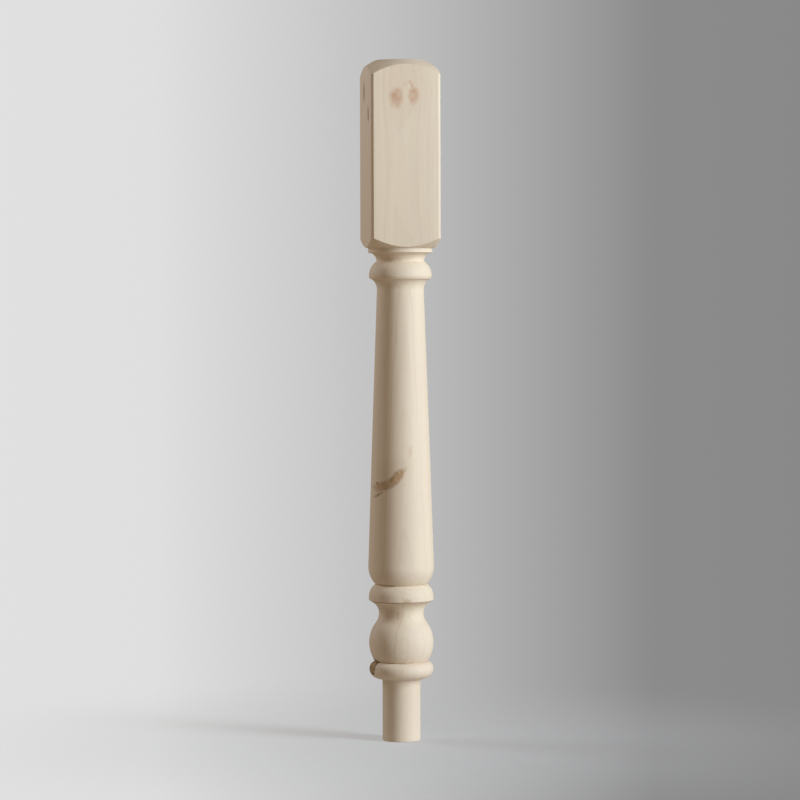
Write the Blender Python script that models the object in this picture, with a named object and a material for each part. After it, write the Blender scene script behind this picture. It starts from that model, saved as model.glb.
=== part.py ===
"""A turned pine newel post for a staircase: square block above, turned shaft, spigot below.

One length of square pine is turned between centres. Its upper end stays square, with its arrises
eased by a small chamfer, and the lathe rounds both ends of that block. Lengths are in metres, +Z is
up, and the origin is the centre of the spigot's end. The outline is set out as a turner does it,
member by member, from the spigot's end to the block's top.
"""

import math

import bmesh
import bpy
from mathutils import Vector

# Square blank
BLOCK_SIDE = 0.090
ARRIS_LEG = 0.003

# Spigot, which is glued into the socket of a newel base
SPIGOT_DIAMETER = 0.049
SPIGOT_LENGTH = 0.0803
SPIGOT_EASING = 0.001

# Ring that sits on the newel base
RING_DIAMETER = 0.0827
RING_FOOT_DIAMETER = 0.0578
RING_UNDER_HEIGHT = 0.0126
RING_OVER_HEIGHT = 0.0095
RING_GROOVE_DIAMETER = 0.0695

# Ball, and the cove above it
BALL_DIAMETER = 0.0832
BALL_UNDER_HEIGHT = 0.0245
BALL_OVER_HEIGHT = 0.0258
COVE_DIAMETER = 0.0577
COVE_UNDER_HEIGHT = 0.0119
COVE_OVER_HEIGHT = 0.0168
COVE_LIP_DIAMETER = 0.0788

# Collar below the shaft
COLLAR_DIAMETER = 0.0835
COLLAR_EDGE_HEIGHT = 0.0048
COLLAR_ROUND_HEIGHT = 0.0157
COLLAR_GROOVE_DIAMETER = 0.0678

# Shaft
SHAFT_BASE_DIAMETER = 0.0848
SHAFT_BASE_ROUND_HEIGHT = 0.0231
SHAFT_LENGTH = 0.3569
SHAFT_TOP_DIAMETER = 0.0604
SHAFT_SWELL = 0.0002

# Neck, bead, upper cove and fillet below the block
NECK_HEIGHT = 0.0139
NECK_LIP_DIAMETER = 0.0737
BEAD_LIP_DIAMETER = 0.0789
BEAD_DIAMETER = 0.0809
BEAD_UNDER_HEIGHT = 0.0045
BEAD_OVER_HEIGHT = 0.0185
UPPER_COVE_DIAMETER = 0.0613
UPPER_COVE_HEIGHT = 0.0106
UPPER_COVE_LIP_DIAMETER = 0.0762
FILLET_DIAMETER = 0.0828
FILLET_HEIGHT = 0.0065

# Square block, measured from the fillet to its flat top
BLOCK_LENGTH = 0.2401
SHOULDER_FOOT_DIAMETER = 0.0878
SHOULDER_SLOPE = 0.645
CROWN_DIAMETER = 0.0650
CROWN_SLOPE = 0.690
CROWN_SWELL = 0.0006

# The turned envelope of the block clears the blank's corners by this much before they are cut
CORNER_CLEARANCE = 0.0005

# Fineness of the faceted surface
SEGMENTS = 56
ARC_STEP = math.radians(14)
TAPER_STEPS = 6
SHARP_ANGLE = math.radians(24)

PINE_COLOUR = (0.72, 0.60, 0.44, 1.0)
PINE_ROUGHNESS = 0.6


class Turning:
    """The outline of a turned piece, from its foot upwards, as points (radius, height)."""

    def __init__(self):
        self.points = [(0.0, 0.0)]

    def step(self, diameter):
        """Cut a flat ledge in or out to a new diameter."""
        height = self.points[-1][1]
        self.points.append((diameter / 2, height))

    def rise(self, height):
        """Run straight up at the same diameter."""
        radius, foot = self.points[-1]
        self.points.append((radius, foot + height))

    def leave(self, height, diameter):
        """Start upright and curve along one arc to the new diameter."""
        radius, foot = self.points[-1]
        sink = radius - diameter / 2
        sweep = 2 * math.atan2(sink, height)
        arc_radius = height / math.sin(sweep)
        count = max(2, math.ceil(abs(sweep) / ARC_STEP))
        for index in range(1, count + 1):
            angle = sweep * index / count
            offset = arc_radius * (1 - math.cos(angle))
            self.points.append((radius - offset, foot + arc_radius * math.sin(angle)))

    def arrive(self, height, diameter):
        """Curve along one arc and end upright at the new diameter."""
        radius, foot = self.points[-1]
        mirrored = Turning()
        mirrored.points = [(diameter / 2, 0.0)]
        mirrored.leave(height, 2 * radius)
        for arc_point in reversed(mirrored.points[:-1]):
            self.points.append((arc_point[0], foot + height - arc_point[1]))

    def taper(self, height, diameter, swell):
        """Run to the new diameter along a line that swells a little at its middle."""
        start = Vector(self.points[-1])
        end = Vector((diameter / 2, start.y + height))
        run = end - start
        outward = Vector((run.y, -run.x)).normalized()
        for index in range(1, TAPER_STEPS + 1):
            share = index / TAPER_STEPS
            point = start + run * share + outward * 4 * swell * share * (1 - share)
            self.points.append((point.x, point.y))


def turned_outline():
    """Every member of the post, from the spigot's end to the block's flat top."""
    post = Turning()
    post.step(SPIGOT_DIAMETER - 2 * SPIGOT_EASING)
    post.arrive(SPIGOT_EASING, SPIGOT_DIAMETER)
    post.rise(SPIGOT_LENGTH - SPIGOT_EASING)

    post.step(RING_FOOT_DIAMETER)
    post.arrive(RING_UNDER_HEIGHT, RING_DIAMETER)
    post.leave(RING_OVER_HEIGHT, RING_GROOVE_DIAMETER)

    post.arrive(BALL_UNDER_HEIGHT, BALL_DIAMETER)
    ball_share = BALL_OVER_HEIGHT / (BALL_OVER_HEIGHT + COVE_UNDER_HEIGHT)
    turning_point = BALL_DIAMETER + (COVE_DIAMETER - BALL_DIAMETER) * ball_share
    post.leave(BALL_OVER_HEIGHT, turning_point)
    post.arrive(COVE_UNDER_HEIGHT, COVE_DIAMETER)
    post.leave(COVE_OVER_HEIGHT, COVE_LIP_DIAMETER)

    post.step(COLLAR_DIAMETER)
    post.rise(COLLAR_EDGE_HEIGHT)
    post.leave(COLLAR_ROUND_HEIGHT, COLLAR_GROOVE_DIAMETER)

    post.arrive(SHAFT_BASE_ROUND_HEIGHT, SHAFT_BASE_DIAMETER)
    post.taper(SHAFT_LENGTH, SHAFT_TOP_DIAMETER, SHAFT_SWELL)

    post.leave(NECK_HEIGHT, NECK_LIP_DIAMETER)
    post.step(BEAD_LIP_DIAMETER)
    post.arrive(BEAD_UNDER_HEIGHT, BEAD_DIAMETER)
    post.leave(BEAD_OVER_HEIGHT, UPPER_COVE_DIAMETER)
    post.leave(UPPER_COVE_HEIGHT, UPPER_COVE_LIP_DIAMETER)
    post.step(FILLET_DIAMETER)
    post.rise(FILLET_HEIGHT)

    add_block(post)
    return post.points


def add_block(post):
    """Carry the outline round the square block, out past its corners and in to the flat top."""
    envelope_diameter = BLOCK_SIDE * math.sqrt(2) + 2 * CORNER_CLEARANCE
    shoulder_height = SHOULDER_SLOPE * (envelope_diameter - SHOULDER_FOOT_DIAMETER) / 2
    crown_height = CROWN_SLOPE * (envelope_diameter - CROWN_DIAMETER) / 2
    post.step(SHOULDER_FOOT_DIAMETER)
    radius, foot = post.points[-1]
    post.points.append((envelope_diameter / 2, foot + shoulder_height))
    post.rise(BLOCK_LENGTH - shoulder_height - crown_height)
    post.taper(crown_height, CROWN_DIAMETER, CROWN_SWELL)
    post.points.append((0.0, post.points[-1][1]))


def spin_outline(bm, points):
    """Spin the outline round the Z axis into one closed body."""
    verts = [bm.verts.new((radius, 0.0, height)) for radius, height in points]
    edges = [bm.edges.new(pair) for pair in zip(verts, verts[1:])]
    bmesh.ops.spin(
        bm,
        geom=verts + edges,
        cent=(0.0, 0.0, 0.0),
        axis=(0.0, 0.0, 1.0),
        angle=math.tau,
        steps=SEGMENTS,
        use_merge=True,
    )
    bmesh.ops.remove_doubles(bm, verts=bm.verts, dist=0.000001)
    bmesh.ops.recalc_face_normals(bm, faces=bm.faces)


def plane_off(bm, direction, distance):
    """Plane the body flat at a distance from its axis, along a level direction."""
    cut = bmesh.ops.bisect_plane(
        bm,
        geom=bm.verts[:] + bm.edges[:] + bm.faces[:],
        plane_co=direction * distance,
        plane_no=direction,
        clear_outer=True,
    )
    rim = [item for item in cut["geom_cut"] if isinstance(item, bmesh.types.BMEdge)]
    if rim:
        bmesh.ops.edgeloop_fill(bm, edges=rim)


def cut_square_blank(bm):
    """Bring the block to its four faces, and chamfer the four arrises between them."""
    half_side = BLOCK_SIDE / 2
    arris_distance = (BLOCK_SIDE - ARRIS_LEG) / math.sqrt(2)
    for quarter in range(4):
        angle = quarter * math.pi / 2
        plane_off(bm, Vector((math.cos(angle), math.sin(angle), 0.0)), half_side)
    for quarter in range(4):
        angle = (quarter + 0.5) * math.pi / 2
        plane_off(bm, Vector((math.cos(angle), math.sin(angle), 0.0)), arris_distance)
    bmesh.ops.recalc_face_normals(bm, faces=bm.faces)


def pine_material():
    """Pale, sanded pine without a finish."""
    material = bpy.data.materials.new("pine")
    material.use_nodes = True
    shader = material.node_tree.nodes["Principled BSDF"]
    shader.inputs["Base Color"].default_value = PINE_COLOUR
    shader.inputs["Roughness"].default_value = PINE_ROUGHNESS
    shader.inputs["Metallic"].default_value = 0.0
    return material


def newel_post():
    """The whole post, turned from one piece."""
    bm = bmesh.new()
    spin_outline(bm, turned_outline())
    cut_square_blank(bm)
    mesh = bpy.data.meshes.new("newel_post")
    bm.to_mesh(mesh)
    bm.free()
    mesh.materials.append(pine_material())
    mesh.shade_smooth()
    mesh.set_sharp_from_angle(angle=SHARP_ANGLE)
    post = bpy.data.objects.new("newel_post", mesh)
    bpy.context.scene.collection.objects.link(post)
    return post


def main():
    for item in list(bpy.data.objects):
        bpy.data.objects.remove(item, do_unlink=True)
    newel_post()


main()
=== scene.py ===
"""A turned pine newel post at its finished surface, standing on a plain studio floor.

The post is one piece of pine: a square block above, a tapering turned shaft, and a round spigot
below. It is set out member by member from the spigot's end, spun, and planed to the four faces and
the four arrises of its square blank, and it takes the place of the faceted solid. Lengths are in
metres and +Z is up. An azimuth is an angle round the post, from its front face (-Y) towards +X.
"""

import math
from collections import namedtuple

import bmesh
import bpy
from bpy.props import FloatProperty, FloatVectorProperty, IntProperty, PointerProperty
from bpy.types import Operator, Panel, PropertyGroup
from mathutils import Euler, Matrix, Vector


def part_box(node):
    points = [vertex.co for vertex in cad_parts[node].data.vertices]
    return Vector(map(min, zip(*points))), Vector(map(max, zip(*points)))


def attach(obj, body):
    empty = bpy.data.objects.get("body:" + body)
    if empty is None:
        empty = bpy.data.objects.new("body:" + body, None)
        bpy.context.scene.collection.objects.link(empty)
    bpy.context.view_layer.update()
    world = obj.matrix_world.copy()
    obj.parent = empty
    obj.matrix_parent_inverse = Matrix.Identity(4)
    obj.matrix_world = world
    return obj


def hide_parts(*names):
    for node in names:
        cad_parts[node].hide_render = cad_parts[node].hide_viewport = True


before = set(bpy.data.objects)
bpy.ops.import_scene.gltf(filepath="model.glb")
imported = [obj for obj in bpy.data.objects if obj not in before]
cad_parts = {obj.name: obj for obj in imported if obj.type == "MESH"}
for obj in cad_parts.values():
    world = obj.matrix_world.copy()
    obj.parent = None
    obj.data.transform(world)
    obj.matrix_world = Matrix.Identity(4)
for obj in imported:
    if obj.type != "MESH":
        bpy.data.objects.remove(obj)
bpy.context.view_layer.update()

bl_info = {
    "name": "Turned Newel Post",
    "version": (1, 0, 0),
    "blender": (4, 5, 0),
    "location": "3D View > Sidebar > Newel Post",
    "description": "Turns a pine newel post and sets it on a studio floor",
    "category": "Object",
}

BOX_TOLERANCE = 0.0005

# Turning, planing and sanding
MERGE_DISTANCE = 0.000002
BLUNT_CORNER = math.radians(30)
LIP_SEGMENTS = 3
CRISP_EDGE = math.radians(25)
PLANED_MARGIN = 0.0001
ARRIS_SEGMENTS = 2
SHADED_EDGE = math.radians(28)

# How often each pattern in the wood changes within a metre, along X, Y and Z
DRIFT_SCALE = (9.0, 9.0, 2.2)
RIPPLE_SCALE = (60.0, 60.0, 10.0)
RAGGED_SCALE = (85.0, 85.0, 55.0)
SPACING_SCALE = (40.0, 40.0, 0.0)
FLUSH_SCALE = (30.0, 30.0, 7.0)
FIBRE_SCALE = (900.0, 900.0, 16.0)
STREAK_SCALE = (170.0, 170.0, 4.0)
DUCT_SCALE = (1500.0, 1500.0, 45.0)
BLOTCH_SCALE = (210.0, 210.0, 170.0)
SCRATCH_SCALE = (2200.0, 1.0, 2200.0)

# How far the growth rings and the knots' edges stray, in metres
DRIFT_REACH = (0.020, 0.020, 0.0)
RIPPLE_REACH = (0.0016, 0.0016, 0.0016)
RAGGED_REACH = (0.005, 0.005, 0.005)

# Where each pattern begins and where it is full
FLUSH_RANGE = (0.42, 0.66)
SAPWOOD_RANGE = (0.022, -0.045)
DUCT_RANGE = (0.66, 0.74)
BLOTCH_RANGE = (0.28, 0.70)

# Growth rings: the darkness across one year's ring, and how much the years differ
RING_SHADE = ((0.0, 0.0), (0.45, 0.10), (0.80, 0.75), (0.90, 1.0), (1.0, 0.0))
RING_UNEVENNESS = 1.6
YEAR_CONTRAST = 3.0

# Pairs of (gain, base) that turn a pattern into a strength or a shade
YEAR_STRENGTH = (0.40, 0.06)
FIBRE_SHADE = (0.09, 0.955)
DUCT_SHADE = (-0.10, 1.0)
BLOTCHED_STAIN = (0.40, 0.75)
GRAINED_STAIN = (0.14, 0.90)
BLOTCHED_RIM = (0.80, 0.25)

# A knot's outline and heart, as shares of its size, and how softly the rings flow round it
RIM_PLACE = 0.95
RIM_WIDTH = 0.24
HEART_SIZE = 0.34
HEART_DARKNESS = 0.6
RING_FLOW = 0.006

# Gloss and relief
FIBRE_GLOSS = 0.14
STAIN_GLOSS = -0.12
SPECULAR = 0.3
WOOD_IOR = 1.5
RING_RELIEF = 0.30
FIBRE_RELIEF = 0.8
SCRATCH_RELIEF = 0.35
RIM_RELIEF = -1.5
TURNED_MARGIN = 0.0003
BUMP_STRENGTH = 0.35
BUMP_DISTANCE = 0.00012

# Floor and backdrop. The backdrop's greys are painted light, running from the left of the view to its
# right.
FLOOR_RADIUS = 1.2
FLOOR_SEGMENTS = 96
FLOOR_ROUGHNESS = 0.9
FLOOR_FADE = (0.70, 0.04)
FLOOR_COVER = 0.36
BACKDROP_SPREAD = (1.25, 0.5)
BACKDROP_PAINTED_LIGHT = ((0.0, 0.80), (0.40, 0.74), (0.50, 0.52), (0.60, 0.26), (1.0, 0.20))
BOUNCE_RANGE = (0.0, -0.6)

# A lamp's angle is measured from the camera's side towards the camera's right
Lamp = namedtuple("Lamp", "name angle distance height size")
KEY_LAMP = Lamp("key_light", math.radians(61.5), 3.5, 1.45, (1.1, 3.2))
FILL_LAMP = Lamp("fill_light", math.radians(-110), 2.0, 1.6, (0.9, 1.2))
LAMP_AIM = Vector((0.0, 0.0, 0.45))

# Camera, with its rows and columns counted in a frame 800 pixels wide
FRAME_WIDTH = 800
HORIZON_ROW = 292.9
AXIS_COLUMN = 400.67
CAMERA_ROLL = math.radians(-0.158)
SENSOR_WIDTH = 36.0

Knot = namedtuple(
    "Knot",
    "name azimuth height half_width half_height lean bend softness stain rim red red_slope pull",
)

# Lengths in metres, angles in degrees. A knot leans anticlockwise as it is looked at, and bend bows
# it. Softness is how far its edge fades, stain how strong its colour is and rim how dark its outline.
# Red and red_slope say how that colour runs from brown to red across its width, and pull how far it
# draws the growth rings.
KNOTS = (
    Knot("face_left", -15.2, 0.8262, 0.0080, 0.0125, 0, 0, 0.55, 0.64, 0.00, 0.72, 0.1, 0.009),
    Knot("face_left_heart", -19.8, 0.8285, 0.0050, 0.0070, 0, 0, 0.75, 0.76, 0.00, 0.20, 0.0, 0.003),
    Knot("face_right", 11.8, 0.8285, 0.0064, 0.0105, 0, 0, 0.60, 0.58, 0.00, 0.72, 0.0, 0.008),
    Knot("face_right_heart", 13.0, 0.8340, 0.0044, 0.0050, -35, 0, 0.75, 0.74, 0.00, 0.20, 0.0, 0.002),
    Knot("face_vein", 10.2, 0.8420, 0.0024, 0.0062, 28, 0, 0.80, 0.54, 0.00, 0.45, 0.0, 0.002),
    Knot("face_spur", 6.8, 0.8468, 0.0030, 0.0020, 12, 0, 0.80, 0.44, 0.00, 0.50, 0.0, 0.001),
    Knot("face_halo", -2.0, 0.8440, 0.0320, 0.0340, 0, 0, 0.75, 0.11, 0.00, 0.70, 0.0, 0.003),
    Knot("side_upper", -101.8, 0.8365, 0.0040, 0.0130, 0, 0, 0.25, 0.98, 0.50, 0.10, 0.0, 0.008),
    Knot("side_lower", -64.5, 0.8060, 0.0036, 0.0105, 0, 0, 0.25, 0.98, 0.45, 0.10, 0.0, 0.007),
    Knot("spike", -32.5, 0.3348, 0.0268, 0.0062, 27, 10.0, 0.35, 0.72, 0.10, 0.25, 0.55, 0.010),
    Knot("spike_lobe", -14.5, 0.3455, 0.0085, 0.0058, 45, 0, 0.45, 0.78, 0.00, 1.00, 0.0, 0.003),
    Knot("spike_root", -55.0, 0.3285, 0.0105, 0.0042, 5, 0, 0.50, 0.58, 0.00, 0.35, 0.0, 0.004),
    Knot("spike_heart", -61.5, 0.3345, 0.0020, 0.0016, 0, 0, 0.30, 0.90, 0.90, 0.00, 0.0, 0.001),
    Knot("spike_vein", -58.5, 0.3198, 0.0088, 0.0018, 22, 0, 0.60, 0.74, 0.40, 0.00, 0.0, 0.001),
    Knot("spike_band", -26.5, 0.3404, 0.0115, 0.0028, 42, 0, 0.70, 0.95, 0.00, 0.05, 0.0, 0.001),
    Knot("spike_halo", -26.0, 0.3490, 0.0220, 0.0150, 20, 0, 0.80, 0.14, 0.00, 0.10, 0.0, 0.002),
    Knot("shaft_streak", 8.5, 0.3740, 0.0024, 0.0072, -14, 0, 0.80, 0.32, 0.00, 0.60, 0.0, 0.003),
    Knot("ring", -82.0, 0.0962, 0.0112, 0.0098, 0, 0, 0.12, 1.00, 1.00, 0.00, 0.0, 0.010),
    Knot("cove_dark", -18.5, 0.1642, 0.0036, 0.0058, 0, 0, 0.75, 0.42, 0.00, 0.00, 0.0, 0.005),
    Knot("cove_fleck", -9.0, 0.1630, 0.0022, 0.0044, -15, 0, 0.80, 0.36, 0.00, 0.80, 0.0, 0.005),
    Knot("cove_halo", -32.0, 0.1625, 0.0140, 0.0105, 0, 0, 0.75, 0.18, 0.00, 0.10, 0.0, 0.003),
    Knot("vein_collar", -7.5, 0.1785, 0.0140, 0.0014, 90, 0, 0.90, 0.18, 0.00, 0.20, 0.0, 0.001),
    Knot("vein_cove", -12.2, 0.1552, 0.0105, 0.0014, 67, 0, 0.90, 0.30, 0.00, 0.20, 0.0, 0.001),
    Knot("vein_ball", -20.8, 0.1300, 0.0185, 0.0014, 85, 0, 0.90, 0.22, 0.00, 0.20, 0.0, 0.001),
    Knot("vein_under_ball", -9.0, 0.1064, 0.0050, 0.0014, -65, 0, 0.90, 0.16, 0.00, 0.10, 0.0, 0.001),
    Knot("vein_under_right", -0.5, 0.1085, 0.0050, 0.0014, 68, 0, 0.90, 0.16, 0.00, 0.10, 0.0, 0.001),
    Knot("vein_ring", -7.5, 0.0930, 0.0042, 0.0018, 90, 0, 0.90, 0.13, 0.00, 0.10, 0.0, 0.001),
    Knot("collar", 1.5, 0.1832, 0.0055, 0.0026, 0, 0, 0.60, 0.46, 0.00, 0.05, 0.0, 0.003),
    Knot("collar_fleck", 0.5, 0.1850, 0.0008, 0.0012, 0, 0, 0.50, 0.60, 0.00, 0.00, 0.0, 0.001),
    Knot("back_face", 171.0, 0.7050, 0.0080, 0.0120, 0, 0, 0.35, 0.66, 0.45, 0.55, 0.0, 0.012),
    Knot("right_face", 97.0, 0.7900, 0.0030, 0.0048, 0, 0, 0.40, 0.60, 0.35, 0.40, 0.0, 0.006),
    Knot("shaft_back", 152.0, 0.4620, 0.0048, 0.0072, 0, 0, 0.35, 0.68, 0.50, 0.45, 0.0, 0.009),
    Knot("shaft_pin", 82.0, 0.2750, 0.0020, 0.0026, 0, 0, 0.40, 0.70, 0.55, 0.20, 0.0, 0.003),
)


def length(name, description, default):
    """A length that the maker can set."""
    return FloatProperty(
        name=name,
        description=description,
        default=default,
        min=0.0,
        precision=4,
        subtype="DISTANCE",
        unit="LENGTH",
    )


def colour(name, description, default):
    """A linear colour that the maker can set."""
    return FloatVectorProperty(
        name=name,
        description=description,
        default=default,
        size=3,
        min=0.0,
        max=1.0,
        subtype="COLOR",
    )


class NewelSizes(PropertyGroup):
    """Sizes of the post's members, from the spigot upwards"""

    block_side: length("Block side", "Width of the square blank", 0.090)
    arris_leg: length("Arris", "Leg of the chamfer on the block's arrises", 0.003)
    spigot_diameter: length("Spigot", "Diameter of the spigot", 0.049)
    spigot_length: length("Spigot length", "From the spigot's end to the ring", 0.0803)
    spigot_easing: length("Spigot easing", "Rounding of the spigot's end", 0.001)
    ring_diameter: length("Ring", "Widest diameter of the ring", 0.0827)
    ring_foot: length("Ring foot", "Diameter of the ring's flat underside", 0.0578)
    ring_under: length("Ring under", "Height of the ring's lower round", 0.0126)
    ring_over: length("Ring over", "Height of the ring's upper round", 0.0095)
    ring_groove: length("Ring groove", "Diameter of the groove above the ring", 0.0695)
    ball_diameter: length("Ball", "Widest diameter of the ball", 0.0832)
    ball_under: length("Ball under", "Height from the groove to the widest point", 0.0245)
    ball_over: length("Ball over", "Height from the widest point to the turn", 0.0258)
    cove_diameter: length("Cove", "Narrowest diameter of the cove", 0.0577)
    cove_under: length("Cove under", "Height from the turn to the narrowest point", 0.0119)
    cove_over: length("Cove over", "Height from the narrowest point to the lip", 0.0168)
    cove_lip: length("Cove lip", "Diameter at which the cove meets the collar", 0.0788)
    collar_diameter: length("Collar", "Diameter of the collar", 0.0835)
    collar_edge: length("Collar edge", "Height of the collar's upright edge", 0.0048)
    collar_round: length("Collar round", "Height of the collar's upper round", 0.0157)
    collar_groove: length("Collar groove", "Diameter of the groove above the collar", 0.0678)
    base_diameter: length("Shaft base", "Diameter of the shaft's foot", 0.0848)
    base_round: length("Base round", "Height of the round at the shaft's foot", 0.0231)
    shaft_length: length("Shaft length", "From the shaft's foot to its neck", 0.3569)
    shaft_top: length("Shaft top", "Diameter of the shaft's upper end", 0.0604)
    shaft_swell: length("Shaft swell", "How far the shaft's sides swell", 0.0002)
    neck_height: length("Neck height", "Height of the neck under the bead", 0.0139)
    neck_lip: length("Neck lip", "Diameter at which the neck meets the bead", 0.0737)
    bead_lip: length("Bead lip", "Diameter of the bead's underside", 0.0789)
    bead_diameter: length("Bead", "Widest diameter of the bead", 0.0809)
    bead_under: length("Bead under", "Height of the bead's lower round", 0.0045)
    bead_over: length("Bead over", "Height of the bead's upper round", 0.0185)
    upper_cove: length("Upper cove", "Narrowest diameter above the bead", 0.0613)
    upper_cove_height: length("Upper cove height", "Height of the upper cove", 0.0106)
    upper_cove_lip: length("Upper cove lip", "Diameter at the fillet's underside", 0.0762)
    fillet_diameter: length("Fillet", "Diameter of the fillet", 0.0828)
    fillet_height: length("Fillet height", "Height of the fillet", 0.0065)
    block_length: length("Block length", "From the fillet to the flat top", 0.2401)
    shoulder_foot: length("Shoulder foot", "Diameter at which the shoulder starts", 0.0878)
    crown_diameter: length("Crown", "Diameter of the block's flat top", 0.0650)
    crown_swell: length("Crown swell", "How far the crown's slope swells", 0.0012)
    quirk_height: length("Quirk", "Height of the fine cuts between members", 0.0011)
    quirk_depth: length("Quirk depth", "Depth of the fine cuts between members", 0.0016)
    lip_round: length("Lip round", "Radius of the sanded lower lips", 0.0012)
    lip_easing: length("Lip easing", "How far sanding rounds the other sharp corners", 0.0005)
    arris_easing: length("Arris easing", "How far sanding rounds the block's edges", 0.0011)
    shoulder_slope: FloatProperty(
        name="Shoulder slope",
        description="Rise of the block's lower shoulder for each unit outwards",
        default=0.645,
        min=0.1,
    )
    crown_slope: FloatProperty(
        name="Crown slope",
        description="Fall of the block's crown for each unit outwards",
        default=0.690,
        min=0.1,
    )
    segments: IntProperty(
        name="Segments",
        description="Facets round the post",
        default=192,
        min=24,
    )


class NewelFinish(PropertyGroup):
    """Colours and texture of the pine"""

    early_colour: colour("Early wood", "Wide pale part of each growth ring", (0.772, 0.650, 0.482))
    late_colour: colour("Late wood", "Narrow darker part of each ring", (0.60, 0.46, 0.29))
    flush_colour: colour("Flush", "Pinkish patches in the wood", (0.770, 0.629, 0.484))
    sap_colour: colour("Sapwood", "Paler wood on the bark side, at the left", (0.846, 0.704, 0.534))
    knot_colour: colour("Knot", "Brown heart of a knot", (0.40, 0.242, 0.092))
    knot_red: colour("Knot red", "Reddish part of a knot", (0.60, 0.276, 0.165))
    rim_colour: colour("Knot rim", "Dark outline of a knot", (0.115, 0.062, 0.03))
    ring_width: length("Ring width", "Distance from one growth ring to the next", 0.0026)
    pith_x: FloatProperty(
        name="Pith X",
        description="Place of the tree's centre across the post",
        default=-0.006,
        unit="LENGTH",
    )
    pith_y: FloatProperty(
        name="Pith Y",
        description="Place of the tree's centre in front of the post",
        default=-0.125,
        unit="LENGTH",
    )
    roughness: FloatProperty(
        name="Roughness",
        description="Roughness of the sanded wood",
        default=0.60,
        min=0.0,
        max=1.0,
    )


class NewelStudio(PropertyGroup):
    """Camera, lights and floor"""

    view_azimuth: FloatProperty(
        name="View azimuth",
        description="How far the camera stands to the left of the front face",
        default=math.radians(10.14),
        subtype="ANGLE",
        unit="ROTATION",
    )
    camera_distance: length("Camera distance", "Level distance to the post's axis", 4.0)
    camera_height: length("Camera height", "Height of the camera above the floor", 0.578)
    focal_pixels: FloatProperty(
        name="Focal length",
        description="Focal length in pixels of the square frame",
        default=3104.0,
        min=1.0,
    )
    key_power: FloatProperty(
        name="Key light",
        description="Power of the large light on the right",
        default=185.0,
        min=0.0,
        unit="POWER",
    )
    fill_power: FloatProperty(
        name="Fill light",
        description="Power of the soft light on the left",
        default=17.0,
        min=0.0,
        unit="POWER",
    )
    key_colour: colour("Key colour", "Colour of the large light", (0.768, 0.878, 1.0))
    fill_colour: colour("Fill colour", "Colour of the soft light", (0.84, 0.90, 1.0))
    room_colour: colour("Room light", "Dim warm light from all round", (0.176, 0.133, 0.091))
    bounce_colour: colour("Bounced light", "Dim warm light from below", (0.320, 0.260, 0.200))
    floor_colour: colour("Floor", "Plain pale floor", (0.78, 0.78, 0.78))


class Outline:
    """Half of a turned piece's section, drawn upwards from its foot in the XZ plane."""

    ARC_STEP = math.radians(4)

    def __init__(self, bm):
        self.bm = bm
        self.tip = bm.verts.new((0.0, 0.0, 0.0))

    def line_to(self, radius, height):
        """Draw a straight line to a radius and a height."""
        drawn = bmesh.ops.extrude_vert_indiv(self.bm, verts=[self.tip])
        self.tip = drawn["verts"][0]
        self.tip.co = (radius, 0.0, height)

    def step(self, diameter):
        """Cut a flat ledge in or out to a new diameter."""
        self.line_to(diameter / 2, self.tip.co.z)

    def rise(self, height):
        """Run straight up at the same diameter."""
        self.line_to(self.tip.co.x, self.tip.co.z + height)

    def arc(self, centre, sweep):
        """Swing the tip round a centre (radius, height), turning inwards if sweep is positive."""
        swung = bmesh.ops.spin(
            self.bm,
            geom=[self.tip],
            cent=(centre[0], 0.0, centre[1]),
            axis=(0.0, 1.0, 0.0),
            angle=-sweep,
            steps=max(2, math.ceil(abs(sweep) / self.ARC_STEP)),
        )
        ends = [item for item in swung["geom_last"] if isinstance(item, bmesh.types.BMVert)]
        self.tip = ends[0]

    def leave(self, height, diameter):
        """Start upright and curve along one arc to the new diameter."""
        start = self.tip.co.copy()
        sweep = 2 * math.atan2(start.x - diameter / 2, height)
        arc_radius = height / math.sin(sweep)
        self.arc((start.x - arc_radius, start.z), sweep)

    def arrive(self, height, diameter):
        """Curve along one arc and end upright at the new diameter."""
        start = self.tip.co.copy()
        sweep = 2 * math.atan2(diameter / 2 - start.x, height)
        arc_radius = height / math.sin(sweep)
        self.arc((diameter / 2 - arc_radius, start.z + height), sweep)

    def lip(self, diameter, round_radius):
        """Step out to a new diameter with a quarter round at the lip."""
        self.step(diameter - 2 * round_radius)
        self.arrive(round_radius, diameter)

    def quirk(self, height, depth):
        """Cut a fine square groove straight in between two members."""
        diameter = 2 * self.tip.co.x
        self.step(diameter - 2 * depth)
        self.rise(height)
        self.step(diameter)

    def taper(self, height, diameter, swell):
        """Run to the new diameter along a shallow arc that swells outwards at its middle."""
        start = Vector((self.tip.co.x, self.tip.co.z))
        chord = Vector((diameter / 2, start.y + height)) - start
        arc_radius = (chord.length ** 2 / 4 + swell ** 2) / (2 * swell)
        inward = Vector((-chord.y, chord.x)).normalized()
        centre = start + chord / 2 + inward * (arc_radius - swell)
        self.arc(centre, 2 * math.asin(chord.length / (2 * arc_radius)))


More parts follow.
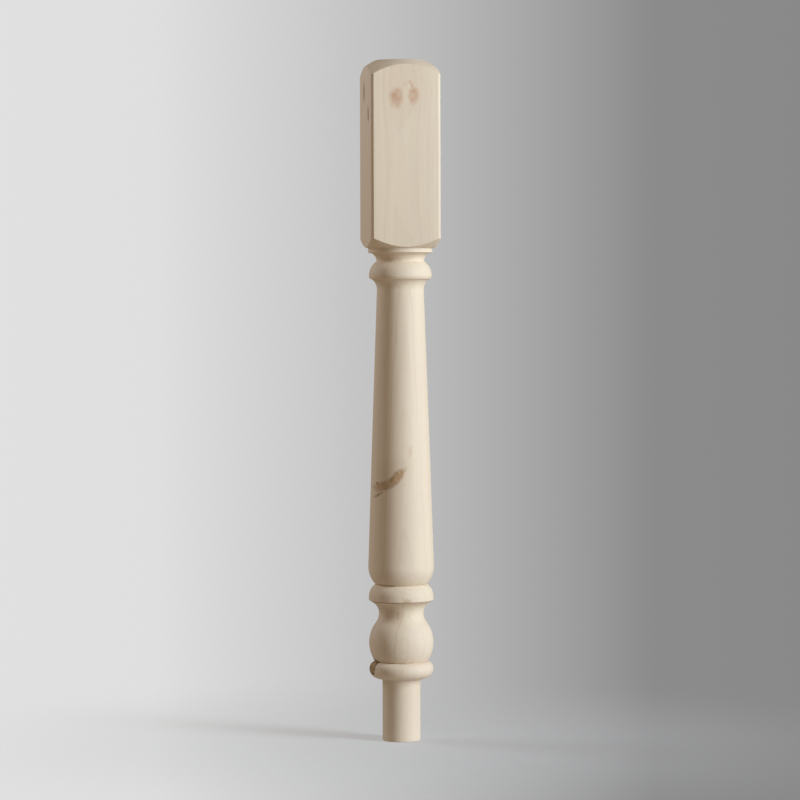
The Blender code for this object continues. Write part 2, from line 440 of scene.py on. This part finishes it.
def draw_outline(bm, sizes):
    """Draw every member of the post, from the spigot's end to the block's flat top."""
    post = Outline(bm)
    post.lip(sizes.spigot_diameter, sizes.spigot_easing)
    post.rise(sizes.spigot_length - sizes.spigot_easing)

    post.step(sizes.ring_foot)
    post.arrive(sizes.ring_under, sizes.ring_diameter)
    post.leave(sizes.ring_over, sizes.ring_groove)
    post.quirk(sizes.quirk_height, sizes.quirk_depth)

    post.arrive(sizes.ball_under - sizes.quirk_height, sizes.ball_diameter)
    ball_share = sizes.ball_over / (sizes.ball_over + sizes.cove_under)
    ball_to_cove = sizes.cove_diameter - sizes.ball_diameter
    post.leave(sizes.ball_over, sizes.ball_diameter + ball_to_cove * ball_share)
    post.arrive(sizes.cove_under, sizes.cove_diameter)
    post.leave(sizes.cove_over - sizes.quirk_height, sizes.cove_lip)
    post.quirk(sizes.quirk_height, sizes.quirk_depth)

    post.lip(sizes.collar_diameter, sizes.lip_round)
    post.rise(sizes.collar_edge - sizes.lip_round)
    post.leave(sizes.collar_round, sizes.collar_groove)
    post.quirk(sizes.quirk_height, sizes.quirk_depth)

    post.arrive(sizes.base_round - sizes.quirk_height, sizes.base_diameter)
    post.taper(sizes.shaft_length, sizes.shaft_top, sizes.shaft_swell)

    post.leave(sizes.neck_height, sizes.neck_lip)
    post.lip(sizes.bead_lip, sizes.lip_round)
    post.arrive(sizes.bead_under - sizes.lip_round, sizes.bead_diameter)
    post.leave(sizes.bead_over, sizes.upper_cove)
    post.leave(sizes.upper_cove_height, sizes.upper_cove_lip)
    post.lip(sizes.fillet_diameter, sizes.lip_round)
    post.rise(sizes.fillet_height - sizes.lip_round)

    draw_block(post, sizes)


def draw_block(post, sizes):
    """Carry the outline round the square block, out past its corners and in to the flat top."""
    envelope = sizes.block_side / math.sqrt(2) + sizes.lip_easing
    shoulder_height = sizes.shoulder_slope * (envelope - sizes.shoulder_foot / 2)
    crown_height = sizes.crown_slope * (envelope - sizes.crown_diameter / 2)
    post.step(sizes.shoulder_foot)
    post.line_to(envelope, post.tip.co.z + shoulder_height)
    post.rise(sizes.block_length - shoulder_height - crown_height)
    post.taper(crown_height, sizes.crown_diameter, sizes.crown_swell)
    post.step(0.0)


def ease_lips(bm, easing):
    """Round the outline's sharp outer corners, as sanding does."""
    corners = []
    for vert in bm.verts:
        if len(vert.link_edges) != 2:
            continue
        before, after = (edge.other_vert(vert).co - vert.co for edge in vert.link_edges)
        if math.pi - before.angle(after) > BLUNT_CORNER:
            corners.append(vert)
    bmesh.ops.bevel(
        bm,
        geom=corners,
        offset=easing,
        offset_type="OFFSET",
        segments=LIP_SEGMENTS,
        profile=0.5,
        affect="VERTICES",
        material=-1,
    )


def plane_off(bm, azimuth, distance):
    """Plane the body flat at a distance from its axis, and close the cut."""
    direction = Vector((math.sin(azimuth), -math.cos(azimuth), 0.0))
    cut = bmesh.ops.bisect_plane(
        bm,
        geom=bm.verts[:] + bm.edges[:] + bm.faces[:],
        plane_co=direction * distance,
        plane_no=direction,
        clear_outer=True,
    )
    rim = [item for item in cut["geom_cut"] if isinstance(item, bmesh.types.BMEdge)]
    bmesh.ops.edgeloop_fill(bm, edges=rim)


def plane_block(bm, sizes):
    """Bring the block to its four faces and its four chamfers, and ease their edges."""
    half_side = sizes.block_side / 2
    arris_distance = (sizes.block_side - sizes.arris_leg) / math.sqrt(2)
    for quarter in range(4):
        plane_off(bm, quarter * math.pi / 2, half_side)
    for quarter in range(4):
        plane_off(bm, (quarter + 0.5) * math.pi / 2, arris_distance)
    bmesh.ops.recalc_face_normals(bm, faces=bm.faces)
    planed = []
    for edge in bm.edges:
        reach = max(vert.co.xy.length for vert in edge.verts)
        if reach > half_side - PLANED_MARGIN and edge.calc_face_angle(0.0) > CRISP_EDGE:
            planed.append(edge)
    bmesh.ops.bevel(
        bm,
        geom=planed,
        offset=sizes.arris_easing,
        offset_type="OFFSET",
        segments=ARRIS_SEGMENTS,
        profile=0.5,
        affect="EDGES",
        clamp_overlap=True,
        material=-1,
    )


def turn_body(bm, sizes):
    """Spin the outline into one closed body, and plane its block."""
    draw_outline(bm, sizes)
    ease_lips(bm, sizes.lip_easing)
    bmesh.ops.spin(
        bm,
        geom=bm.verts[:] + bm.edges[:],
        cent=(0.0, 0.0, 0.0),
        axis=(0.0, 0.0, 1.0),
        angle=math.tau,
        steps=sizes.segments,
        use_merge=True,
    )
    bmesh.ops.remove_doubles(bm, verts=bm.verts, dist=MERGE_DISTANCE)
    bmesh.ops.recalc_face_normals(bm, faces=bm.faces)
    plane_block(bm, sizes)


class Bench:
    """A few short words for laying out a material's nodes."""

    def __init__(self, tree):
        self.tree = tree

    def feed(self, socket, value):
        """Link another socket to this one, or set its value."""
        if isinstance(value, bpy.types.NodeSocket):
            self.tree.links.new(value, socket)
        else:
            socket.default_value = value

    def put(self, kind, settings, links):
        """Add a node, set its options, and feed its inputs with values or sockets."""
        node = self.tree.nodes.new(kind)
        for name, value in settings.items():
            setattr(node, name, value)
        for key, value in links.items():
            self.feed(node.inputs[key], value)
        return node

    def math(self, operation, *values, clamp=False):
        """One Math node."""
        settings = {"operation": operation, "use_clamp": clamp}
        return self.put("ShaderNodeMath", settings, dict(enumerate(values))).outputs[0]

    def hypotenuse(self, first, second):
        """The root of two numbers' squares, added."""
        squared = self.math("MULTIPLY", second, second)
        return self.math("SQRT", self.math("MULTIPLY_ADD", first, first, squared))

    def vector(self, operation, *values):
        """One Vector Math node."""
        return self.put("ShaderNodeVectorMath", {"operation": operation}, dict(enumerate(values)))

    def scaled(self, vector, scale):
        """A vector times another, part by part."""
        return self.vector("MULTIPLY", vector, scale).outputs[0]

    def parts(self, vector):
        """The X, Y and Z parts of a vector."""
        return self.put("ShaderNodeSeparateXYZ", {}, {"Vector": vector}).outputs

    def noise(self, place, scale, detail=2.0, roughness=0.5):
        """The outputs of a Noise Texture with its own scale along each axis."""
        links = {
            "Vector": self.scaled(place, scale),
            "Scale": 1.0,
            "Detail": detail,
            "Roughness": roughness,
        }
        return self.put("ShaderNodeTexNoise", {}, links).outputs

    def stray(self, place, scale, reach, detail=2.0):
        """A shift to and fro that changes from place to place."""
        colours = self.noise(place, scale, detail)["Color"]
        centred = self.vector("SUBTRACT", colours, (0.5, 0.5, 0.5)).outputs[0]
        return self.scaled(centred, reach)

    def smooth(self, value, start, end):
        """Zero before start, one after end, and a smooth step between."""
        settings = {"interpolation_type": "SMOOTHSTEP", "clamp": True}
        links = {"Value": value, "From Min": start, "From Max": end}
        return self.put("ShaderNodeMapRange", settings, links).outputs[0]

    def mix(self, factor, first, second):
        """Mix two colours."""
        node = self.put("ShaderNodeMix", {"data_type": "RGBA"}, {})
        sockets = (node.inputs[0], node.inputs[6], node.inputs[7])
        for socket, value in zip(sockets, (factor, first, second)):
            self.feed(socket, value)
        return node.outputs[2]

    def ramp(self, value, stops):
        """A grey ColorRamp through stops of (position, level)."""
        node = self.put("ShaderNodeValToRGB", {}, {"Fac": value})
        points = node.color_ramp.elements
        while len(points) < len(stops):
            points.new(0.5)
        for point, (position, level) in zip(points, stops):
            point.position = position
            point.color = (level, level, level, 1.0)
        return node.outputs[0]


def opaque(rgb):
    """A colour property as a node's colour."""
    return (*rgb, 1.0)


def knot_group():
    """The node group of one knot, a branch that runs out through the post's surface."""
    group = bpy.data.node_groups.new("knot", "ShaderNodeTree")
    sides = group.interface
    sides.new_socket("Position", in_out="INPUT", socket_type="NodeSocketVector")
    numbers = (
        "Trunk", "Time", "Stain", "Rim", "Red", "Azimuth", "Height", "Half Width", "Half Height",
        "Lean", "Bend", "Softness", "Own Stain", "Own Rim", "Own Red", "Red Slope", "Pull",
    )
    for name in numbers:
        sides.new_socket(name, in_out="INPUT", socket_type="NodeSocketFloat")
    for name in ("Time", "Stain", "Rim", "Red"):
        sides.new_socket(name, in_out="OUTPUT", socket_type="NodeSocketFloat")
    bench = Bench(group)
    given = group.nodes.new("NodeGroupInput").outputs
    result = group.nodes.new("NodeGroupOutput").inputs

    back = bench.math("MULTIPLY", given["Azimuth"], -1.0)
    turned = bench.put(
        "ShaderNodeVectorRotate",
        {"rotation_type": "Z_AXIS"},
        {"Vector": given["Position"], "Angle": back},
    ).outputs[0]
    part = bench.parts(turned)
    ahead = bench.math("MULTIPLY", part[1], -1.0)
    reach = bench.hypotenuse(part[0], ahead)
    across = bench.math("MULTIPLY", bench.math("ARCTAN2", part[0], ahead), reach)
    up = bench.math("SUBTRACT", part[2], given["Height"])

    cosine = bench.math("COSINE", given["Lean"])
    sine = bench.math("SINE", given["Lean"])
    along = bench.math("MULTIPLY_ADD", across, cosine, bench.math("MULTIPLY", up, sine))
    across_sine = bench.math("MULTIPLY", across, sine)
    over = bench.math("SUBTRACT", bench.math("MULTIPLY", up, cosine), across_sine)
    bow = bench.math("MULTIPLY", given["Bend"], bench.math("MULTIPLY", along, along))
    over = bench.math("SUBTRACT", over, bow)
    wide = bench.math("DIVIDE", along, given["Half Width"])
    high = bench.math("DIVIDE", over, given["Half Height"])
    ratio = bench.hypotenuse(wide, high)

    outside = bench.math("ADD", 1.0, given["Softness"])
    inside = bench.math("SUBTRACT", 1.0, given["Softness"])
    mask = bench.smooth(ratio, outside, inside)
    stain = bench.math("MULTIPLY", mask, given["Own Stain"])
    edge = bench.math("ABSOLUTE", bench.math("SUBTRACT", ratio, RIM_PLACE))
    heart = bench.math("MULTIPLY", bench.smooth(ratio, HEART_SIZE, 0.0), HEART_DARKNESS)
    outline = bench.math("MAXIMUM", bench.smooth(edge, RIM_WIDTH, 0.0), heart)
    rim = bench.math("MULTIPLY", outline, given["Own Rim"])
    own_red = bench.math("MULTIPLY_ADD", wide, given["Red Slope"], given["Own Red"], clamp=True)
    beyond = bench.math("SUBTRACT", ratio, 1.0)
    branch = bench.math("MULTIPLY_ADD", beyond, given["Pull"], given["Trunk"])
    blended = bench.math("SMOOTH_MIN", given["Time"], branch, RING_FLOW)

    red_step = bench.math("MULTIPLY", mask, bench.math("SUBTRACT", own_red, given["Red"]))
    group.links.new(blended, result["Time"])
    group.links.new(bench.math("MAXIMUM", given["Stain"], stain), result["Stain"])
    group.links.new(bench.math("MAXIMUM", given["Rim"], rim), result["Rim"])
    group.links.new(bench.math("ADD", given["Red"], red_step), result["Red"])
    return group


def chain_knots(bench, position, trunk):
    """Let each knot in turn bend the growth rings and leave its stain."""
    group = knot_group()
    state = {"Time": trunk, "Stain": 0.0, "Rim": 0.0, "Red": 0.0}
    for knot in KNOTS:
        links = {
            "Position": position,
            "Trunk": trunk,
            "Azimuth": math.radians(knot.azimuth),
            "Height": knot.height,
            "Half Width": knot.half_width,
            "Half Height": knot.half_height,
            "Lean": math.radians(knot.lean),
            "Bend": knot.bend,
            "Softness": knot.softness,
            "Own Stain": knot.stain,
            "Own Rim": knot.rim,
            "Own Red": knot.red,
            "Red Slope": knot.red_slope,
            "Pull": knot.pull,
        }
        settings = {"node_tree": group, "label": knot.name}
        node = bench.put("ShaderNodeGroup", settings, {**links, **state})
        state = {name: node.outputs[name] for name in state}
    return state


def grow_rings(bench, finish, level, time):
    """The growth rings' shade, and the same with some years darker than others."""
    count = bench.math("DIVIDE", time, finish.ring_width)
    uneven = bench.noise(level, SPACING_SCALE, detail=1.0)["Fac"]
    count = bench.math("MULTIPLY_ADD", uneven, RING_UNEVENNESS, count)
    ring = bench.ramp(bench.math("FRACT", count), RING_SHADE)
    year = bench.math("FLOOR", count)
    settings = {"noise_dimensions": "1D"}
    chance = bench.put("ShaderNodeTexWhiteNoise", settings, {"W": year}).outputs["Value"]
    strength = bench.math("POWER", chance, YEAR_CONTRAST)
    strength = bench.math("MULTIPLY_ADD", strength, *YEAR_STRENGTH)
    return ring, bench.math("MULTIPLY", ring, strength)


def colour_wood(bench, finish, place, warped, late):
    """The wood's own colour: pale early wood, pinkish patches, sapwood and late wood."""
    patches = bench.noise(place, FLUSH_SCALE, detail=3.0)["Fac"]
    flush = bench.smooth(patches, *FLUSH_RANGE)
    base = bench.mix(flush, opaque(finish.early_colour), opaque(finish.flush_colour))
    barkward = bench.smooth(bench.parts(warped)[0], *SAPWOOD_RANGE)
    base = bench.mix(barkward, base, opaque(finish.sap_colour))
    return bench.mix(late, base, opaque(finish.late_colour))


def shade_grain(bench, place, fibres, wood):
    """Darken the wood along its fibres, its streaks and its fine resin ducts."""
    fibre_shade = bench.math("MULTIPLY_ADD", fibres, *FIBRE_SHADE)
    streaks = bench.noise(place, STREAK_SCALE)["Fac"]
    streak_shade = bench.math("MULTIPLY_ADD", streaks, *FIBRE_SHADE)
    shade = bench.math("MULTIPLY", fibre_shade, streak_shade)
    ducts = bench.noise(place, DUCT_SCALE, detail=1.0)["Fac"]
    duct_shade = bench.math("MULTIPLY_ADD", bench.smooth(ducts, *DUCT_RANGE), *DUCT_SHADE)
    shade = bench.math("MULTIPLY", shade, duct_shade)
    grey = bench.put("ShaderNodeCombineColor", {}, {0: shade, 1: shade, 2: shade}).outputs[0]
    return bench.vector("MULTIPLY", wood, grey).outputs[0]


def stain_knots(bench, finish, place, ring, knots, wood):
    """Stain the knots, draw their dark outlines, and return the wood with both masks."""
    blotch = bench.smooth(bench.noise(place, BLOTCH_SCALE, detail=3.0)["Fac"], *BLOTCH_RANGE)
    blotched = bench.math("MULTIPLY_ADD", blotch, *BLOTCHED_STAIN)
    stain = bench.math("MULTIPLY", knots["Stain"], blotched, clamp=True)
    stain = bench.math("MULTIPLY", stain, bench.math("MULTIPLY_ADD", ring, *GRAINED_STAIN))
    heart = bench.mix(knots["Red"], opaque(finish.knot_colour), opaque(finish.knot_red))
    wood = bench.mix(stain, wood, heart)
    broken = bench.math("MULTIPLY_ADD", blotch, *BLOTCHED_RIM)
    rim = bench.math("MULTIPLY", knots["Rim"], broken, clamp=True)
    return bench.mix(rim, wood, opaque(finish.rim_colour)), stain, rim


def add_relief(bench, sizes, place, fibres, ring, rim):
    """Raised late wood and fibres, fine sanding rings where it is turned, sunk knot outlines."""
    part = bench.parts(place)
    sideways = bench.math("ABSOLUTE", part[0])
    widest = bench.math("MAXIMUM", sideways, bench.math("ABSOLUTE", part[1]))
    turned = bench.math("LESS_THAN", widest, sizes.block_side / 2 - TURNED_MARGIN)
    reach = bench.hypotenuse(part[0], part[1])
    path = bench.put("ShaderNodeCombineXYZ", {}, {0: reach, 2: part[2]}).outputs[0]
    scratches = bench.math("MULTIPLY", bench.noise(path, SCRATCH_SCALE)["Fac"], turned)
    fibre_height = bench.math("MULTIPLY", fibres, FIBRE_RELIEF)
    height = bench.math("MULTIPLY_ADD", ring, RING_RELIEF, fibre_height)
    height = bench.math("MULTIPLY_ADD", scratches, SCRATCH_RELIEF, height)
    height = bench.math("MULTIPLY_ADD", rim, RIM_RELIEF, height)
    links = {"Strength": BUMP_STRENGTH, "Distance": BUMP_DISTANCE, "Height": height}
    return bench.put("ShaderNodeBump", {}, links).outputs[0]


def pine_material(sizes, finish):
    """Bare, sanded pine with growth rings, fibres and knots, solid all through the post."""
    material = bpy.data.materials.new("pine")
    material.use_nodes = True
    tree = material.node_tree
    bench = Bench(tree)
    place = tree.nodes.new("ShaderNodeTexCoord").outputs["Object"]

    drift = bench.stray(place, DRIFT_SCALE, DRIFT_REACH)
    ripple = bench.stray(place, RIPPLE_SCALE, RIPPLE_REACH)
    warped = bench.vector("ADD", bench.vector("ADD", place, drift).outputs[0], ripple).outputs[0]
    pith = (finish.pith_x, finish.pith_y, 0.0)
    level = bench.scaled(bench.vector("SUBTRACT", warped, pith).outputs[0], (1.0, 1.0, 0.0))
    trunk = bench.vector("LENGTH", level).outputs["Value"]

    raggedness = bench.stray(place, RAGGED_SCALE, RAGGED_REACH, detail=3.0)
    ragged = bench.vector("ADD", place, raggedness).outputs[0]
    knots = chain_knots(bench, ragged, trunk)

    ring, late = grow_rings(bench, finish, level, knots["Time"])
    fibres = bench.noise(place, FIBRE_SCALE, detail=3.0, roughness=0.6)["Fac"]
    wood = colour_wood(bench, finish, place, warped, late)
    wood = shade_grain(bench, place, fibres, wood)
    wood, stain, rim = stain_knots(bench, finish, place, ring, knots, wood)

    even_gloss = finish.roughness - FIBRE_GLOSS / 2
    gloss = bench.math("MULTIPLY_ADD", fibres, FIBRE_GLOSS, even_gloss)
    gloss = bench.math("MULTIPLY_ADD", stain, STAIN_GLOSS, gloss)
    shader = tree.nodes["Principled BSDF"]
    shader.inputs["Metallic"].default_value = 0.0
    shader.inputs["IOR"].default_value = WOOD_IOR
    shader.inputs["Specular IOR Level"].default_value = SPECULAR
    tree.links.new(wood, shader.inputs["Base Color"])
    tree.links.new(gloss, shader.inputs["Roughness"])
    tree.links.new(add_relief(bench, sizes, place, fibres, ring, rim), shader.inputs["Normal"])
    return material


def place_object(name, bm, material):
    """Make a mesh object of a finished bmesh, with its place in its mesh."""
    mesh = bpy.data.meshes.new(name)
    bm.to_mesh(mesh)
    bm.free()
    mesh.materials.append(material)
    piece = bpy.data.objects.new(name, mesh)
    bpy.context.scene.collection.objects.link(piece)
    return piece


class NEWEL_OT_turn_post(Operator):
    """Turn the post from its outline, plane its block and give it its pine surface"""

    bl_idname = "newel.turn_post"
    bl_label = "Turn Newel Post"

    def execute(self, context):
        sizes = context.scene.newel_sizes
        finish = context.scene.newel_finish
        bm = bmesh.new()
        turn_body(bm, sizes)
        piece = place_object("newel_post_turned", bm, pine_material(sizes, finish))
        piece.data.shade_smooth()
        piece.data.set_sharp_from_angle(angle=SHADED_EDGE)
        low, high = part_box("newel_post")
        corners = [Vector(corner) for corner in piece.bound_box]
        for axis in range(3):
            below = min(corner[axis] for corner in corners) - low[axis]
            above = max(corner[axis] for corner in corners) - high[axis]
            if max(abs(below), abs(above)) > BOX_TOLERANCE:
                raise RuntimeError("the turned post doesn't fill the box of its solid")
        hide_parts("newel_post")
        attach(piece, "root")
        return {"FINISHED"}


def view_directions(azimuth):
    """Unit vectors from the post towards the camera, and to the camera's right."""
    towards = Vector((-math.sin(azimuth), -math.cos(azimuth), 0.0))
    right = Vector((math.cos(azimuth), -math.sin(azimuth), 0.0))
    return towards, right


def lay_floor(studio):
    """A round pale floor that fades out into the backdrop's light."""
    bm = bmesh.new()
    bmesh.ops.create_circle(bm, cap_ends=True, radius=FLOOR_RADIUS, segments=FLOOR_SEGMENTS)
    material = bpy.data.materials.new("studio_floor")
    material.use_nodes = True
    tree = material.node_tree
    bench = Bench(tree)
    place = tree.nodes.new("ShaderNodeTexCoord").outputs["Object"]
    distance = bench.vector("LENGTH", place).outputs["Value"]
    cover = bench.math("MULTIPLY", bench.smooth(distance, *FLOOR_FADE), FLOOR_COVER)
    shader = tree.nodes["Principled BSDF"]
    shader.inputs["Base Color"].default_value = opaque(studio.floor_colour)
    shader.inputs["Roughness"].default_value = FLOOR_ROUGHNESS
    tree.links.new(cover, shader.inputs["Alpha"])
    place_object("studio_floor", bm, material)


def light_backdrop(studio, right):
    """Hang a plain grey backdrop with painted light, pale on the left and darker on the right, in a
    dim warm room.
    """
    world = bpy.data.worlds.new("studio_backdrop")
    world.use_nodes = True
    tree = world.node_tree
    bench = Bench(tree)
    looking = tree.nodes.new("ShaderNodeTexCoord").outputs["Generated"]
    # The camera sees painted light on the backdrop, pale on the left and darker on the right; the post
    # is lit by the room light instead.
    sideways = bench.vector("DOT_PRODUCT", looking, tuple(right)).outputs["Value"]
    share = bench.math("MULTIPLY_ADD", sideways, *BACKDROP_SPREAD, clamp=True)
    grey = bench.ramp(share, BACKDROP_PAINTED_LIGHT)
    below = bench.smooth(bench.parts(looking)[2], *BOUNCE_RANGE)
    room = bench.mix(below, opaque(studio.room_colour), opaque(studio.bounce_colour))
    seen = tree.nodes.new("ShaderNodeLightPath").outputs["Is Camera Ray"]
    light = bench.mix(seen, room, grey)
    tree.links.new(light, tree.nodes["Background"].inputs["Color"])
    bpy.context.scene.world = world


def hang_light(place, towards, right, power, light_colour):
    """Hang one soft rectangular light that faces the middle of the post."""
    lamp = bpy.data.lights.new(place.name, "AREA")
    lamp.shape = "RECTANGLE"
    lamp.size, lamp.size_y = place.size
    lamp.energy = power
    lamp.color = light_colour
    side = right * math.sin(place.angle) + towards * math.cos(place.angle)
    holder = bpy.data.objects.new(place.name, lamp)
    holder.location = side * place.distance + Vector((0.0, 0.0, place.height))
    holder.rotation_euler = (LAMP_AIM - holder.location).to_track_quat("-Z", "Y").to_euler()
    bpy.context.scene.collection.objects.link(holder)


def set_camera(studio, towards):
    """Stand the camera where the photograph's was, looking a little down and rolled a little."""
    lens = bpy.data.cameras.new("studio_camera")
    lens.sensor_width = SENSOR_WIDTH
    lens.lens = studio.focal_pixels / FRAME_WIDTH * SENSOR_WIDTH
    camera = bpy.data.objects.new("studio_camera", lens)
    stand = towards * studio.camera_distance
    camera.location = stand + Vector((0.0, 0.0, studio.camera_height))
    tilt = math.atan((FRAME_WIDTH / 2 - HORIZON_ROW) / studio.focal_pixels)
    pan = math.atan((AXIS_COLUMN - FRAME_WIDTH / 2) / studio.focal_pixels)
    level = Euler((math.pi / 2 - tilt, 0.0, -studio.view_azimuth + pan)).to_matrix()
    rolled = level @ Euler((0.0, 0.0, CAMERA_ROLL)).to_matrix()
    camera.rotation_euler = rolled.to_euler()
    bpy.context.scene.collection.objects.link(camera)
    bpy.context.scene.camera = camera


class NEWEL_OT_set_stage(Operator):
    """Lay the floor, light the stage and stand the camera in front of the post"""

    bl_idname = "newel.set_stage"
    bl_label = "Set Studio Stage"

    def execute(self, context):
        studio = context.scene.newel_studio
        towards, right = view_directions(studio.view_azimuth)
        lay_floor(studio)
        light_backdrop(studio, right)
        hang_light(KEY_LAMP, towards, right, studio.key_power, studio.key_colour)
        hang_light(FILL_LAMP, towards, right, studio.fill_power, studio.fill_colour)
        set_camera(studio, towards)
        context.scene.view_settings.view_transform = "Standard"
        return {"FINISHED"}


class NEWEL_PT_maker(Panel):
    """The post's and the stage's operators, with their settings"""

    bl_label = "Newel Post"
    bl_idname = "NEWEL_PT_maker"
    bl_space_type = "VIEW_3D"
    bl_region_type = "UI"
    bl_category = "Newel Post"

    def draw(self, context):
        layout = self.layout
        for operator in OPERATORS:
            layout.operator(operator.bl_idname)
        for group_name in SETTINGS:
            group = getattr(context.scene, group_name)
            box = layout.box()
            for name in group.bl_rna.properties.keys():
                if name not in {"rna_type", "name"}:
                    box.prop(group, name)


OPERATORS = (NEWEL_OT_turn_post, NEWEL_OT_set_stage)
SETTINGS = {"newel_sizes": NewelSizes, "newel_finish": NewelFinish, "newel_studio": NewelStudio}


def register():
    """Register the settings, the operators and the panel."""
    for group in SETTINGS.values():
        bpy.utils.register_class(group)
    for operator in OPERATORS:
        bpy.utils.register_class(operator)
    bpy.utils.register_class(NEWEL_PT_maker)
    for name, group in SETTINGS.items():
        setattr(bpy.types.Scene, name, PointerProperty(type=group))


def unregister():
    """Take away what register added."""
    for name in SETTINGS:
        delattr(bpy.types.Scene, name)
    bpy.utils.unregister_class(NEWEL_PT_maker)
    for operator in reversed(OPERATORS):
        bpy.utils.unregister_class(operator)
    for group in reversed(SETTINGS.values()):
        bpy.utils.unregister_class(group)


def main():
    """Turn the post and set its stage; turning stops if the finished post doesn't fill the box of its
    solid.
    """
    register()
    bpy.ops.newel.turn_post()
    bpy.ops.newel.set_stage()


if __name__ == "__main__":
    main()
